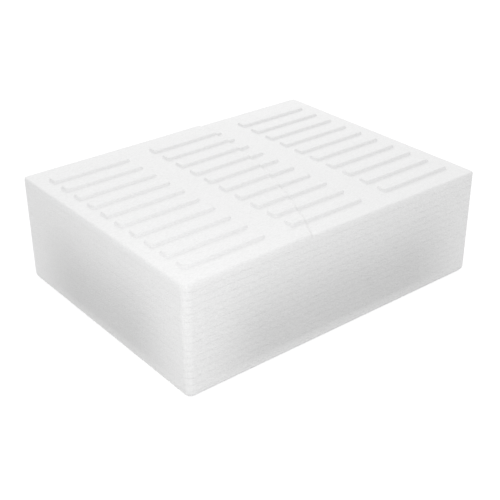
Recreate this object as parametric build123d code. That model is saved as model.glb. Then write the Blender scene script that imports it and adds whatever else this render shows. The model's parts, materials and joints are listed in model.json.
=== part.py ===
from build123d import *
import os

# A stack of nested plug trays, each pressed from one sheet of white closed-cell foam.
# A tray's cells are long and shallow: each one is a raised bar on the sheet's upper face and a
# hollow of the same outline in its lower face, so the bars of one tray fill the hollows of the next.
# Origin: the middle of the footprint, on the surface that the stack stands on.
# +X runs along the bars, +Y across them, +Z up. Millimetres.

# The stack
TRAY_COUNT = 16
LOWEST_TRAY_EDGE_RADIUS = 7.0      # lower outer edge of the tray that carries the stack, pressed round

LEAST_SQUARE_EDGE = 0.5             # what that rounding leaves of the cut edge and of the corner

# One tray's sheet
TRAY_LENGTH = 400.0                # along X
TRAY_WIDTH = 310.0                 # along Y
SHEET_THICKNESS = 7.9
SHEET_CORNER_RADIUS = 8.0          # upright corners, seen from above; the cut edge itself is square

# The bars on its upper face
BAR_COLUMNS = 3
BAR_ROWS = 10
BAR_LENGTH = 100.0                 # along X
BAR_WIDTH = 16.5                   # along Y
BAR_HEIGHT = 2.6
BAR_CORNER_RADIUS = 4.0            # seen from above
BAR_TOP_RADIUS = 0.8               # edge round the flat top
COLUMN_GAP = 32.0                  # between the ends of two bars
ROW_GAP = 10.5                     # between the sides of two bars

# The fit of a bar in the hollow above it
NEST_CLEARANCE = 0.5               # at the ends, at the sides and above the bar

COLUMN_PITCH = BAR_LENGTH + COLUMN_GAP
ROW_PITCH = BAR_WIDTH + ROW_GAP


def rounded_block(length, width, height, corner_radius):
    """Upright block with round corners, standing on the XY plane."""
    return extrude(RectangleRounded(length, width, corner_radius), amount=height)


def at_every_cell(piece, height):
    """The same piece at the place of each cell, all at one height."""
    grid = GridLocations(COLUMN_PITCH, ROW_PITCH, BAR_COLUMNS, BAR_ROWS)
    return [Pos(0, 0, height) * place * piece for place in grid]


def sheet():
    """The tray's plain sheet, cut square all round."""
    return rounded_block(TRAY_LENGTH, TRAY_WIDTH, SHEET_THICKNESS, SHEET_CORNER_RADIUS)


def pressed_sheet():
    """The sheet that carries the stack, with its lower outer edge pressed round."""
    block = sheet()
    room = min(SHEET_THICKNESS, SHEET_CORNER_RADIUS) - LEAST_SQUARE_EDGE
    return fillet(block.faces().sort_by(Axis.Z)[0].edges(), min(LOWEST_TRAY_EDGE_RADIUS, room))


def bar():
    """One raised bar, flat on top, with a soft edge round its top."""
    block = rounded_block(BAR_LENGTH, BAR_WIDTH, BAR_HEIGHT, BAR_CORNER_RADIUS)
    return fillet(block.faces().sort_by(Axis.Z)[-1].edges(), BAR_TOP_RADIUS)


def hollow():
    """What is taken out under one bar: the bar of the tray below, and its clearance."""
    return rounded_block(
        BAR_LENGTH + 2 * NEST_CLEARANCE,
        BAR_WIDTH + 2 * NEST_CLEARANCE,
        BAR_HEIGHT + NEST_CLEARANCE,
        BAR_CORNER_RADIUS + NEST_CLEARANCE,
    )


def tray(block):
    """One whole tray: a sheet with its bars on top and its hollows below."""
    return block + at_every_cell(bar(), SHEET_THICKNESS) - at_every_cell(hollow(), 0)


def node_name(number):
    """Trays are numbered upwards from the lowest one."""
    ends = {1: "_lowest", TRAY_COUNT: "_top"}
    return f"tray_{number:02d}{ends.get(number, '')}"


lowest_tray = tray(pressed_sheet())
nested_tray = tray(sheet())

os.makedirs("parts", exist_ok=True)
for number in range(1, TRAY_COUNT + 1):
    piece = lowest_tray if number == 1 else nested_tray
    seated = Pos(0, 0, (number - 1) * SHEET_THICKNESS) * piece
    export_step(seated, f"parts/{node_name(number)}.step", write_pcurves=False)
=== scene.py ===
import json
import math

import bpy
import numpy as np
from bpy.props import FloatProperty, FloatVectorProperty, IntProperty, PointerProperty, StringProperty
from mathutils import Matrix, Vector

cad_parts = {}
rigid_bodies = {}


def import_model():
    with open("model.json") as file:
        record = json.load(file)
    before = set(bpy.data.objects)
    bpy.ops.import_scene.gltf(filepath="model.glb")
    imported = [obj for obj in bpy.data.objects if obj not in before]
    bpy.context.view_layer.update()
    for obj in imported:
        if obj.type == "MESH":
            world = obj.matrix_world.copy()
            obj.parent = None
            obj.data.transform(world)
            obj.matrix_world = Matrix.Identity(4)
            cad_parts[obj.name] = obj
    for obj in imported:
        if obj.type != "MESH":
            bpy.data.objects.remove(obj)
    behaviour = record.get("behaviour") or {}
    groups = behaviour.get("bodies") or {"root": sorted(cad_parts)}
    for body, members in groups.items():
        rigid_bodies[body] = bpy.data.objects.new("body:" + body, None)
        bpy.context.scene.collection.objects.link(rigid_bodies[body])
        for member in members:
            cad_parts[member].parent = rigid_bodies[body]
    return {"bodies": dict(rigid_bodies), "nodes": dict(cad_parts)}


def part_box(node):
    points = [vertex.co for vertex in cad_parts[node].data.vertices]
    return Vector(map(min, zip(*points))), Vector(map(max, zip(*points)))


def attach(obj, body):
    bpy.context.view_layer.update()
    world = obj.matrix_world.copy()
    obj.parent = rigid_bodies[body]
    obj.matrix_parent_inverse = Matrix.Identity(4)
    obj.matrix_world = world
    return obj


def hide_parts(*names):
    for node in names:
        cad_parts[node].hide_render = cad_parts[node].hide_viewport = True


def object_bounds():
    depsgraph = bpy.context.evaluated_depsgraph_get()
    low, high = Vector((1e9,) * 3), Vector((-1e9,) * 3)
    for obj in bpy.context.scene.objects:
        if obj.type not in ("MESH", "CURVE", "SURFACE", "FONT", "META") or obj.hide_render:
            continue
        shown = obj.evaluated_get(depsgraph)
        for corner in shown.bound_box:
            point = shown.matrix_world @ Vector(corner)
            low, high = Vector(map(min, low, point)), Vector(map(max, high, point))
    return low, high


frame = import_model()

CAD_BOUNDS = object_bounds()
TRAYS = sorted(frame["nodes"])
TOP_TRAY = TRAYS[-1]
BODY_OF_TOP_TRAY = sorted(frame["bodies"])[-1]
MM = 0.001
SHEET_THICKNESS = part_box(TRAYS[1])[0][2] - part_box(TRAYS[0])[0][2]
FLOOR_REACH = 6                 # half the floor's side, in lengths of the stack
SENSOR_WIDTH = 36.0             # millimetres

# Foam
POLYETHYLENE_IOR = 1.5
GRAIN_SPAN = (0.5, 1.4)         # least and greatest sum of the grain's two patterns
SKIN_SLOPES = (0.5, 0.9)        # upright part of the normal: all cut edge, all pressed skin
CELLS_IN_A_BUNDLE = 2

# Mesh of the top tray
STEPS_UP_A_BAR = 4
STEPS_ROUND_A_BAR_CORNER = 5
STEPS_ROUND_THE_EDGE = 4
SPACING_ALONG = 6 * MM
SPACING_ACROSS = 3 * MM
SPACING_AT_CREASE = 1 * MM
SHARP_ANGLE = math.radians(50)

bl_info = {
    "name": "Foam plug tray stack",
    "version": (1, 0, 0),
    "blender": (4, 5, 0),
    "location": "3D View > Sidebar > Plug trays",
    "description": "Finishes a nested stack of pressed foam plug trays and lights it for a plain view",
    "category": "Add Mesh",
}


# Properties ---------------------------------------------------------------------------------

class FoamFinish(bpy.types.PropertyGroup):
    """Colours, grain and painted shade of the foam."""

    skin_colour: StringProperty(
        name="Skin colour", description="Pressed skin of the sheet, sRGB hex", default="#F7F7F7")
    cell_colour: StringProperty(
        name="Cell colour", description="Cut cells and hollows of the grain, sRGB hex", default="#EDEDED")
    # Painted shade: this colour is multiplied into the base colour of the cut sides, most where they lie far
    # from the stack's corners, top and base.
    painted_shade_colour: StringProperty(
        name="Core colour",
        description="Cut edges far from any corner, where less light soaks through, sRGB hex",
        default="#E8E8E8")
    # How far the painted shade fades out from an upright corner, from the top and from the base.
    shade_fade_from_corners: FloatProperty(
        name="Soak from corners", description="How far light soaks in from an upright corner",
        default=105 * MM,
        unit="LENGTH")
    shade_fade_from_top: FloatProperty(
        name="Soak from top", description="How far light soaks down from the top", default=95 * MM,
        unit="LENGTH")
    shade_fade_from_base: FloatProperty(
        name="Soak from base", description="How far light soaks up from the base", default=20 * MM,
        unit="LENGTH")
    cell_size: FloatProperty(
        name="Cell size", description="Width of one foam cell", default=0.9 * MM, unit="LENGTH")
    cell_stretch: FloatProperty(
        name="Cell stretch", description="Length of a cell along the sheet over its width", default=3.0)
    cell_relief: FloatProperty(
        name="Cell relief", description="Height of the grain on the cut edges", default=0.35 * MM,
        unit="LENGTH")
    skin_relief: FloatProperty(
        name="Skin relief", description="Height of the grain under the pressed skin", default=0.008 * MM,
        unit="LENGTH")
    roughness: FloatProperty(
        name="Roughness", description="Roughness of the skin", default=0.8, min=0.0, max=1.0,
        subtype="FACTOR")
    seam_width: FloatProperty(
        name="Seam width", description="Edge of a sheet that pressing closed up", default=0.9 * MM,
        unit="LENGTH")
    seam_relief: FloatProperty(
        name="Seam relief", description="Depth of the line between two sheets", default=0.12 * MM,
        unit="LENGTH")
    sheet_thickness: FloatProperty(
        name="Sheet thickness", description="From one sheet's face to the next", default=SHEET_THICKNESS,
        unit="LENGTH")
    glow_depth: FloatProperty(
        name="Light depth", description="How far light travels inside the foam", default=2.0 * MM,
        unit="LENGTH")
    glow_share: FloatProperty(
        name="Light share", description="Share of the light that travels inside the foam", default=0.15,
        min=0.0, max=1.0, subtype="FACTOR")
    gloss: FloatProperty(
        name="Gloss", description="Strength of the skin's faint gloss", default=0.3, min=0.0, max=1.0,
        subtype="FACTOR")


class TopTrayForm(bpy.types.PropertyGroup):
    """Sizes of the tray that shows on top of the stack."""

    bar_columns: IntProperty(name="Columns", description="Bars along the tray", default=3)
    bar_rows: IntProperty(name="Rows", description="Bars across the tray", default=10)
    bar_length: FloatProperty(
        name="Bar length", description="Along the tray", default=100 * MM, unit="LENGTH")
    bar_width: FloatProperty(
        name="Bar width", description="Across the tray", default=16.5 * MM, unit="LENGTH")
    bar_height: FloatProperty(
        name="Bar height", description="Above the sheet", default=2.6 * MM, unit="LENGTH")
    bar_corner: FloatProperty(
        name="Bar corner", description="Corner radius from above", default=4 * MM, unit="LENGTH")
    bar_draft: FloatProperty(
        name="Bar side", description="Width of a bar's sloping side", default=2.4 * MM, unit="LENGTH")
    column_gap: FloatProperty(
        name="Column gap", description="Between the ends of two bars", default=32 * MM, unit="LENGTH")
    row_gap: FloatProperty(
        name="Row gap", description="Between the sides of two bars", default=10.5 * MM, unit="LENGTH")
    nest_clearance: FloatProperty(
        name="Nest clearance", description="Round a bar in its hollow", default=0.5 * MM, unit="LENGTH")
    sheet_corner: FloatProperty(
        name="Sheet corner", description="Upright corner radius", default=8 * MM, unit="LENGTH")
    sheet_edge: FloatProperty(
        name="Sheet edge", description="Round edge of the upper face", default=3.0 * MM, unit="LENGTH")
    crease_height: FloatProperty(
        name="Crease height", description="Step at the crease", default=1.6 * MM, unit="LENGTH")
    crease_width: FloatProperty(
        name="Crease width", description="Width of that step", default=1.4 * MM, unit="LENGTH")
    crease_reach: FloatProperty(
        name="Crease reach", description="How far from the crease the sheet settles", default=70 * MM,
        unit="LENGTH")
    crease_settled: FloatProperty(
        name="Crease settled", description="Share of the step that stays far from it", default=0.35,
        min=0.0, max=1.0, subtype="FACTOR")
    crease_dip: FloatProperty(
        name="Crease dip", description="Depth of the dip beside the step, as a share of it", default=0.25,
        min=0.0, max=1.0, subtype="FACTOR")
    crease_front: FloatProperty(
        name="Crease front", description="Where it meets the front edge", default=-45 * MM, unit="LENGTH")
    crease_middle: FloatProperty(
        name="Crease middle", description="Where it crosses the middle", default=20 * MM, unit="LENGTH")
    crease_back: FloatProperty(
        name="Crease back", description="Where it meets the back edge", default=44 * MM, unit="LENGTH")


class StudioStage(bpy.types.PropertyGroup):
    """Floor, lamps, surroundings and camera."""

    floor_colour: StringProperty(
        name="Floor colour", description="Matt white sweep, sRGB hex", default="#F2F2F2")
    shadow_depth: FloatProperty(
        name="Shadow depth", description="How much of the object's shadow the floor shows", default=0.25,
        min=0.0, max=1.0, subtype="FACTOR")
    floor_white: FloatProperty(
        name="Floor white", description="What the floor adds of its own to look white", default=1.15)
    sky_level: FloatProperty(name="Sky level", description="Light from the white surroundings", default=0.81)
    back_power: FloatProperty(
        name="Back lamp", description="Softbox behind, low enough to shade the rows", default=12.0,
        unit="POWER")
    back_size: FloatProperty(
        name="Back lamp size", description="Side of the softbox behind", default=0.6, unit="LENGTH")
    back_place: FloatVectorProperty(
        name="Back lamp place", description="Where it stands from the stack's middle",
        default=(1.10, 1.60, 1.03), subtype="TRANSLATION", unit="LENGTH")
    corner_power: FloatProperty(
        name="Corner lamp", description="Small softbox at the near corner", default=0.55, unit="POWER")
    corner_size: FloatProperty(
        name="Corner lamp size", description="Side of the small softbox", default=0.2, unit="LENGTH")
    corner_place: FloatVectorProperty(
        name="Corner lamp place", description="Where it stands from the stack's near top corner",
        default=(-0.25, -0.26, 0.25), subtype="TRANSLATION", unit="LENGTH")
    lens: FloatProperty(
        name="Lens", description="Focal length in millimetres, on a 36 mm sensor", default=71.15)
    camera_place: FloatVectorProperty(
        name="Camera place", description="Where the camera stands", default=(-0.6290, -0.7866, 0.5791),
        subtype="TRANSLATION", unit="LENGTH")
    camera_aim: FloatVectorProperty(
        name="Camera aim", description="What it looks at", default=(-0.0367, -0.0459, 0.0624),
        subtype="TRANSLATION", unit="LENGTH")
    camera_roll: FloatProperty(
        name="Camera roll", description="Turn about its line of sight", default=math.radians(-0.375),
        subtype="ANGLE")


# Materials ----------------------------------------------------------------------------------

def linear(hex_colour):
    """An sRGB hex colour as linear RGBA."""
    channels = [int(hex_colour[k:k + 2], 16) / 255 for k in (1, 3, 5)]
    return [c / 12.92 if c <= 0.04045 else ((c + 0.055) / 1.055) ** 2.4 for c in channels] + [1.0]


def add(tree, kind, settings=None, values=None, links=None):
    """Adds one node to a tree, with its settings, its sockets' values and what is linked to them."""
    made = tree.nodes.new(kind)
    for name, value in (settings or {}).items():
        setattr(made, name, value)
    for socket, value in (values or {}).items():
        made.inputs[socket].default_value = value
    for socket, source in (links or {}).items():
        tree.links.new(source, made.inputs[socket])
    return made


def painted_shade_share(tree, finish, place, cut_edge):
    """How much painted shade darkens a cut side: 0 near the stack's corners, top and base, and on every
    skin; it stands in for the light that soaks through the foam, weaker in the middle of each side.
    """
    low, high = (Vector(corner) for corner in CAD_BOUNDS)
    apart = add(tree, "ShaderNodeSeparateXYZ", links={"Vector": place})
    left_over = []
    for axis, half in (("X", high.x), ("Y", high.y)):
        size = add(tree, "ShaderNodeMath", {"operation": "ABSOLUTE"}, links={0: apart.outputs[axis]})
        rest = add(tree, "ShaderNodeMath", {"operation": "SUBTRACT"}, {0: half}, {1: size.outputs["Value"]})
        left_over.append(rest.outputs["Value"])
    corner = add(tree, "ShaderNodeMath", {"operation": "MAXIMUM"}, links={0: left_over[0], 1: left_over[1]})
    ranges = (
        (corner.outputs["Value"], 0.0, finish.shade_fade_from_corners),
        (apart.outputs["Z"], high.z, high.z - finish.shade_fade_from_top),
        (apart.outputs["Z"], low.z, low.z + finish.shade_fade_from_base),
    )
    share = cut_edge
    for value, light, dim in ranges:
        reach = add(tree, "ShaderNodeMapRange", {"interpolation_type": "SMOOTHSTEP"},
                    {"From Min": light, "From Max": dim}, {"Value": value})
        product = add(tree, "ShaderNodeMath", {"operation": "MULTIPLY"},
                      links={0: share, 1: reach.outputs["Result"]})
        share = product.outputs["Value"]
    return share


def pressed_polyethylene_foam(finish):
    """Closed-cell polyethylene foam, extruded as sheet, pressed and cut to size.

    The pressed skin is matt and smooth with the cells faint beneath it. The cut edges show the
    cells themselves, about a millimetre wide and drawn out along the sheet: grains on the ends,
    fine lines along the sides. Light soaks in a little way, which softens every edge. The middle
    of a cut side far from top and corners has painted shade: its base colour is darkened there.
    """
    material = bpy.data.materials.new("pressed_polyethylene_foam")
    material.use_nodes = True
    tree = material.node_tree
    tree.nodes.clear()
    place = add(tree, "ShaderNodeTexCoord")
    drawn_out = add(tree, "ShaderNodeMapping", values={"Scale": (1 / finish.cell_stretch, 1.0, 1.0)},
                    links={"Vector": place.outputs["Object"]})
    cells = add(tree, "ShaderNodeTexVoronoi", {"feature": "F1"},
                {"Scale": 1 / finish.cell_size, "Randomness": 1.0}, {"Vector": drawn_out.outputs["Vector"]})
    bundles = add(tree, "ShaderNodeTexNoise", {"noise_dimensions": "3D"},
                  {"Scale": 1 / (CELLS_IN_A_BUNDLE * finish.cell_size), "Detail": 3.0, "Roughness": 0.6},
                  {"Vector": drawn_out.outputs["Vector"]})
    grain = add(tree, "ShaderNodeMath", {"operation": "ADD"},
                links={0: cells.outputs["Distance"], 1: bundles.outputs["Fac"]})
    surface = add(tree, "ShaderNodeNewGeometry")
    facing = add(tree, "ShaderNodeSeparateXYZ", links={"Vector": surface.outputs["Normal"]})
    upright = add(tree, "ShaderNodeMath", {"operation": "ABSOLUTE"}, links={0: facing.outputs["Z"]})
    skin = add(tree, "ShaderNodeMapRange", {"interpolation_type": "SMOOTHSTEP"},
               {"From Min": SKIN_SLOPES[0], "From Max": SKIN_SLOPES[1], "To Min": 1.0, "To Max": 0.0},
               {"Value": upright.outputs["Value"]})
    tone = add(tree, "ShaderNodeMapRange",
               values={"From Min": GRAIN_SPAN[0], "From Max": GRAIN_SPAN[1]},
               links={"Value": grain.outputs["Value"]})
    colour = add(tree, "ShaderNodeMix", {"data_type": "RGBA"},
                 {"A": linear(finish.skin_colour), "B": linear(finish.cell_colour)},
                 {"Factor": tone.outputs["Result"]})
    # Painted shade: the base colour of the cut sides is darkened towards the middle of the stack, far from
    # its corners, top and base.
    painted_shade = painted_shade_share(tree, finish, place.outputs["Object"], skin.outputs["Result"])
    colour_with_painted_shade = add(tree, "ShaderNodeMix", {"data_type": "RGBA", "blend_type": "MULTIPLY"},
                 {"B": linear(finish.painted_shade_colour)}, {"Factor": painted_shade, "A": colour.outputs["Result"]})
    relief = add(tree, "ShaderNodeMapRange",
                 values={"To Min": finish.skin_relief, "To Max": finish.cell_relief},
                 links={"Value": skin.outputs["Result"]})
    height = add(tree, "ShaderNodeMath", {"operation": "MULTIPLY"},
                 links={0: grain.outputs["Value"], 1: relief.outputs["Result"]})
    level = add(tree, "ShaderNodeSeparateXYZ", links={"Vector": place.outputs["Object"]})
    in_sheet = add(tree, "ShaderNodeMath", {"operation": "PINGPONG"}, {1: finish.sheet_thickness / 2},
                   {0: level.outputs["Z"]})
    seam = add(tree, "ShaderNodeMapRange", {"interpolation_type": "SMOOTHSTEP"},
               {"From Max": finish.seam_width, "To Min": -finish.seam_relief, "To Max": 0.0},
               {"Value": in_sheet.outputs["Value"]})
    cut_seam = add(tree, "ShaderNodeMath", {"operation": "MULTIPLY"},
                   links={0: seam.outputs["Result"], 1: skin.outputs["Result"]})
    lined = add(tree, "ShaderNodeMath", {"operation": "ADD"},
                links={0: height.outputs["Value"], 1: cut_seam.outputs["Value"]})
    bump = add(tree, "ShaderNodeBump", values={"Strength": 1.0, "Distance": 1.0},
               links={"Height": lined.outputs["Value"]})
    shader = add(tree, "ShaderNodeBsdfPrincipled", {"subsurface_method": "RANDOM_WALK"},
                 {"Roughness": finish.roughness, "IOR": POLYETHYLENE_IOR, "Specular IOR Level": finish.gloss,
                  "Subsurface Weight": finish.glow_share, "Subsurface Scale": finish.glow_depth,
                  "Subsurface Radius": (1.0, 1.0, 1.0)},
                 {"Base Color": colour_with_painted_shade.outputs["Result"], "Normal": bump.outputs["Normal"]})
    add(tree, "ShaderNodeOutputMaterial", links={"Surface": shader.outputs["BSDF"]})
    return material


def seen_directly(tree):
    """1 for a ray that shows what it meets as plain background: from the camera, a gloss or glass."""
    path = add(tree, "ShaderNodeLightPath")
    gloss = add(tree, "ShaderNodeMath", {"operation": "MAXIMUM"},
                links={0: path.outputs["Is Camera Ray"], 1: path.outputs["Is Glossy Ray"]})
    glass = add(tree, "ShaderNodeMath", {"operation": "MAXIMUM"},
                links={0: gloss.outputs["Value"], 1: path.outputs["Is Transmission Ray"]})
    return glass.outputs["Value"]


def matt_paper_sweep(stage):
    """Seamless white paper, matt: it shows as white and takes only a light shadow."""
    material = bpy.data.materials.new("matt_paper_sweep")
    material.use_nodes = True
    tree = material.node_tree
    tree.nodes.clear()
    paper = add(tree, "ShaderNodeBsdfDiffuse", values={"Color": linear(stage.floor_colour)})
    white = add(tree, "ShaderNodeEmission",
                values={"Color": linear("#FFFFFF"), "Strength": stage.floor_white})
    share = add(tree, "ShaderNodeMath", {"operation": "MULTIPLY"}, {1: 1.0 - stage.shadow_depth},
                {0: seen_directly(tree)})
    mixed = add(tree, "ShaderNodeMixShader",
                links={0: share.outputs["Value"], 1: paper.outputs["BSDF"], 2: white.outputs["Emission"]})
    add(tree, "ShaderNodeOutputMaterial", links={"Surface": mixed.outputs["Shader"]})
    return material


def white_surroundings(stage):
    """Even white all round, as bright to the eye as paper, but gentler as a light."""
    world = bpy.data.worlds.new("white_surroundings")
    world.use_nodes = True
    tree = world.node_tree
    tree.nodes.clear()
    level = add(tree, "ShaderNodeMapRange", values={"To Min": stage.sky_level, "To Max": 1.0},
                links={"Value": seen_directly(tree)})
    light = add(tree, "ShaderNodeBackground", values={"Color": linear("#FFFFFF")},
                links={"Strength": level.outputs["Result"]})
    add(tree, "ShaderNodeOutputWorld", links={"Surface": light.outputs["Background"]})
    return world


# The top tray's form --------------------------------------------------------------------------

def ruled(half, marks, near, infill):
    """Grid lines from -half to half: close beside each mark, and no further apart than infill."""
    lines = {-half, half}
    for mark in marks:
        lines.update(mark + step for step in near)
    kept = sorted(line for line in lines if -half <= line <= half)
    filled = []
    for low, high in zip(kept, kept[1:]):
        count = max(1, math.ceil((high - low) / infill))
        filled += [low + (high - low) * k / count for k in range(count)]
    filled.append(half)
    return np.array(filled)


def centres(count, pitch):
    """Middles of a row of count pieces."""
    return [(k - (count - 1) / 2) * pitch for k in range(count)]


def into_outline(x, y, form, grow):
    """How far each point lies inside the nearest bar's outline, grown all round by grow."""
    column_pitch = form.bar_length + form.column_gap
    row_pitch = form.bar_width + form.row_gap
    columns = np.clip(np.round(x / column_pitch), -(form.bar_columns // 2), form.bar_columns // 2)
    rows = np.clip(np.floor(y / row_pitch), -(form.bar_rows // 2), form.bar_rows // 2 - 1) + 0.5
    radius = form.bar_corner + grow
    across = np.abs(x - columns * column_pitch) - (form.bar_length / 2 + grow - radius)
    along = np.abs(y - rows * row_pitch) - (form.bar_width / 2 + grow - radius)
    outside = np.hypot(np.maximum(across, 0), np.maximum(along, 0))
    return radius - outside - np.minimum(np.maximum(across, along), 0)


def smooth(t):
    """0 below 0, 1 above 1, and a soft S between."""
    t = np.clip(t, 0, 1)
    return t * t * (3 - 2 * t)


def crease_line(y, half_width, form):
    """Where the crease runs: a smooth bow through its three places."""
    t = y / half_width
    bow = (form.crease_front + form.crease_back) / 2 - form.crease_middle
    slope = (form.crease_back - form.crease_front) / 2
    return form.crease_middle + slope * t + bow * t * t


def crease_lift(x, y, half_width, form):
    """How far the bent part of the sheet stands up: a sharp step at the crease, then a long fall."""
    past = crease_line(y, half_width, form) - x
    settling = np.exp(-np.maximum(past, 0) / form.crease_reach)
    fall = form.crease_settled + (1 - form.crease_settled) * settling
    dip_width = 2 * form.crease_width
    dip = form.crease_dip * np.exp(-(past / dip_width + 0.7) ** 2)
    return form.crease_height * (smooth(past / form.crease_width) * fall - dip)


def rounded_plan(x, y, half_length, half_width, radius):
    """Draws the corners of a square-cornered grid in to a round corner."""
    u = np.clip((np.abs(x) - (half_length - radius)) / radius, 0, 1)
    v = np.clip((np.abs(y) - (half_width - radius)) / radius, 0, 1)
    in_corner = (u > 0) & (v > 0)
    new_u = np.where(in_corner, u * np.sqrt(1 - v * v / 2), u)
    new_v = np.where(in_corner, v * np.sqrt(1 - u * u / 2), v)
    new_x = np.where(in_corner, np.sign(x) * (half_length - radius + new_u * radius), x)
    new_y = np.where(in_corner, np.sign(y) * (half_width - radius + new_v * radius), y)
    return new_x, new_y


def soft_edge(inset, radius):
    """Drop of a round edge at a distance in from the outline."""
    reach = np.clip(radius - inset, 0, radius)
    return radius - np.sqrt(radius * radius - reach * reach)


def top_tray_mesh(form):
    """The creased tray as one closed mesh: bars above, hollows below, a wall between."""
    low, high = (Vector(corner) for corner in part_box(TOP_TRAY))
    half_length = (high.x - low.x) / 2
    half_width = (high.y - low.y) / 2
    sheet_top = high.z - form.bar_height
    column_ends = [c + s * form.bar_length / 2
                   for c in centres(form.bar_columns, form.bar_length + form.column_gap) for s in (-1, 1)]
    row_sides = [c + s * form.bar_width / 2
                 for c in centres(form.bar_rows, form.bar_width + form.row_gap) for s in (-1, 1)]
    up_a_bar = range(-STEPS_UP_A_BAR - 1, STEPS_UP_A_BAR + 2)
    round_a_corner = range(-STEPS_ROUND_A_BAR_CORNER, STEPS_ROUND_A_BAR_CORNER + 1)
    near = [k * form.bar_draft / STEPS_UP_A_BAR for k in up_a_bar]
    near += [k * form.bar_corner / STEPS_ROUND_A_BAR_CORNER for k in round_a_corner]
    rim = [k * form.sheet_edge / STEPS_ROUND_THE_EDGE for k in range(1, STEPS_ROUND_THE_EDGE + 1)]
    edge_x = [s * (half_length - r) for s in (-1, 1) for r in rim]
    edge_y = [s * (half_width - r) for s in (-1, 1) for r in rim]
    bend = np.arange(form.crease_front - SPACING_ALONG, form.crease_back + SPACING_ALONG, SPACING_AT_CREASE)
    xs = ruled(half_length, column_ends, near, SPACING_ALONG)
    xs = np.unique(np.round(np.concatenate([xs, bend, edge_x]), 6))
    ys = ruled(half_width, row_sides, near, SPACING_ACROSS)
    ys = np.unique(np.round(np.concatenate([ys, edge_y]), 6))
    x, y = (g.ravel() for g in np.meshgrid(xs, ys, indexing="ij"))
    inset = np.minimum(half_length - np.abs(x), half_width - np.abs(y))
    drop = soft_edge(inset, form.sheet_edge)
    bars = form.bar_height * smooth(into_outline(x, y, form, 0.0) / form.bar_draft)
    above = sheet_top + bars + crease_lift(x, y, half_width, form) - drop
    room = form.bar_height + form.nest_clearance
    below = low.z + room * (into_outline(x, y, form, form.nest_clearance) > 0)
    plan_x, plan_y = rounded_plan(x, y, half_length, half_width, form.sheet_corner)
    upper = np.column_stack([plan_x, plan_y, above])
    lower = np.column_stack([plan_x, plan_y, below])
    count_x, count_y = len(xs), len(ys)
    index = np.arange(count_x * count_y).reshape(count_x, count_y)
    quads = np.stack([index[:-1, :-1], index[1:, :-1], index[1:, 1:], index[:-1, 1:]], -1).reshape(-1, 4)
    ring = np.concatenate([index[:-1, 0], index[-1, :-1], index[:0:-1, -1], index[0, :0:-1]])
    after = np.roll(ring, -1)
    total = count_x * count_y
    wall = np.stack([ring, ring + total, after + total, after], -1)
    faces = np.concatenate([quads, quads[:, ::-1] + total, wall])
    mesh = bpy.data.meshes.new("creased_top_tray")
    mesh.from_pydata(np.concatenate([upper, lower]).tolist(), [], faces.tolist())
    mesh.shade_smooth()
    mesh.set_sharp_from_angle(angle=SHARP_ANGLE)
    return mesh


# Operators ------------------------------------------------------------------------------------

def foam(context):
    """The stack's one foam material, made when it is first needed."""
    known = bpy.data.materials.get("pressed_polyethylene_foam")
    return known or pressed_polyethylene_foam(context.scene.foam_finish)


class TRAYS_OT_nested(bpy.types.Operator):
    """Gives the nested trays their foam"""

    bl_idname = "trays.nested"
    bl_label = "Nested trays"

    def execute(self, context):
        for name in TRAYS:
            mesh = frame["nodes"][name].data
            mesh.materials.clear()
            mesh.materials.append(foam(context))
        return {"FINISHED"}


class TRAYS_OT_top(bpy.types.Operator):
    """Makes the creased tray on top of the stack"""

    bl_idname = "trays.top"
    bl_label = "Top tray"

    def execute(self, context):
        mesh = top_tray_mesh(context.scene.top_tray_form)
        mesh.materials.append(foam(context))
        tray = bpy.data.objects.new("creased_top_tray", mesh)
        context.collection.objects.link(tray)
        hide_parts(TOP_TRAY)
        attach(tray, BODY_OF_TOP_TRAY)
        return {"FINISHED"}


def softbox(context, name, place, aim, size, power):
    """A square area lamp that points at a place."""
    data = bpy.data.lights.new(name, "AREA")
    data.shape = "SQUARE"
    data.size = size
    data.energy = power
    lamp = bpy.data.objects.new(name, data)
    lamp.location = place
    lamp.rotation_euler = (Vector(aim) - Vector(place)).to_track_quat("-Z", "Y").to_euler()
    context.collection.objects.link(lamp)


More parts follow.
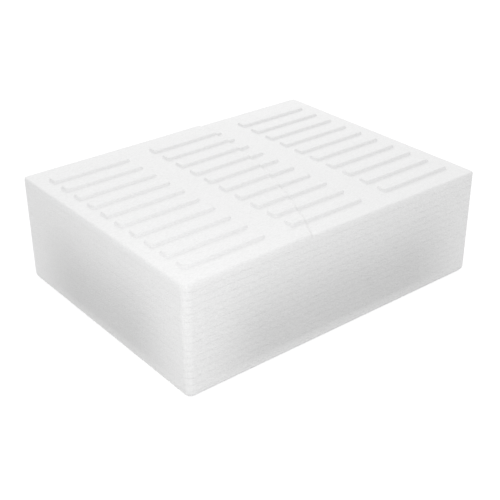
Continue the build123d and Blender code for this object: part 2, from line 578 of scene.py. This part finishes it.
class TRAYS_OT_stage(bpy.types.Operator):
    """Makes the floor, the lamps, the white surroundings and the camera"""

    bl_idname = "trays.stage"
    bl_label = "Stage"

    def execute(self, context):
        stage = context.scene.studio_stage
        low, high = (Vector(corner) for corner in CAD_BOUNDS)
        reach = FLOOR_REACH * (high.x - low.x)
        turns = ((-1, -1), (1, -1), (1, 1), (-1, 1))
        corners = [(u * reach, v * reach, low.z) for u, v in turns]
        mesh = bpy.data.meshes.new("paper_floor")
        mesh.from_pydata(corners, [], [(0, 1, 2, 3)])
        mesh.materials.append(matt_paper_sweep(stage))
        floor = bpy.data.objects.new("paper_floor", mesh)
        context.collection.objects.link(floor)
        context.scene.world = white_surroundings(stage)
        middle = (low + high) / 2
        near_corner = Vector((low.x, low.y, high.z))
        softbox(context, "back_softbox", middle + Vector(stage.back_place), middle,
                stage.back_size, stage.back_power)
        softbox(context, "corner_softbox", near_corner + Vector(stage.corner_place), near_corner,
                stage.corner_size, stage.corner_power)
        data = bpy.data.cameras.new("camera")
        data.sensor_width = SENSOR_WIDTH
        data.lens = stage.lens
        camera = bpy.data.objects.new("camera", data)
        place = Vector(stage.camera_place)
        turn = (Vector(stage.camera_aim) - place).to_track_quat("-Z", "Y").to_matrix().to_4x4()
        roll = Matrix.Rotation(stage.camera_roll, 4, "Z")
        camera.matrix_world = Matrix.Translation(place) @ turn @ roll
        context.collection.objects.link(camera)
        context.scene.camera = camera
        context.scene.view_settings.view_transform = "Standard"
        return {"FINISHED"}


class TRAYS_PT_panel(bpy.types.Panel):
    """Lists the steps that build the stack"""

    bl_idname = "TRAYS_PT_panel"
    bl_label = "Plug trays"
    bl_space_type = "VIEW_3D"
    bl_region_type = "UI"
    bl_category = "Plug trays"

    def draw(self, context):
        for operator in OPERATORS:
            self.layout.operator(operator.bl_idname)


OPERATORS = (TRAYS_OT_nested, TRAYS_OT_top, TRAYS_OT_stage)
GROUPS = (FoamFinish, TopTrayForm, StudioStage)
CLASSES = GROUPS + OPERATORS + (TRAYS_PT_panel,)


def register():
    for kind in CLASSES:
        bpy.utils.register_class(kind)
    bpy.types.Scene.foam_finish = PointerProperty(type=FoamFinish)
    bpy.types.Scene.top_tray_form = PointerProperty(type=TopTrayForm)
    bpy.types.Scene.studio_stage = PointerProperty(type=StudioStage)


def unregister():
    del bpy.types.Scene.studio_stage
    del bpy.types.Scene.top_tray_form
    del bpy.types.Scene.foam_finish
    for kind in reversed(CLASSES):
        bpy.utils.unregister_class(kind)


def main():
    register()
    bpy.ops.trays.nested()
    bpy.ops.trays.top()
    bpy.ops.trays.stage()


if __name__ == "__main__":
    main()
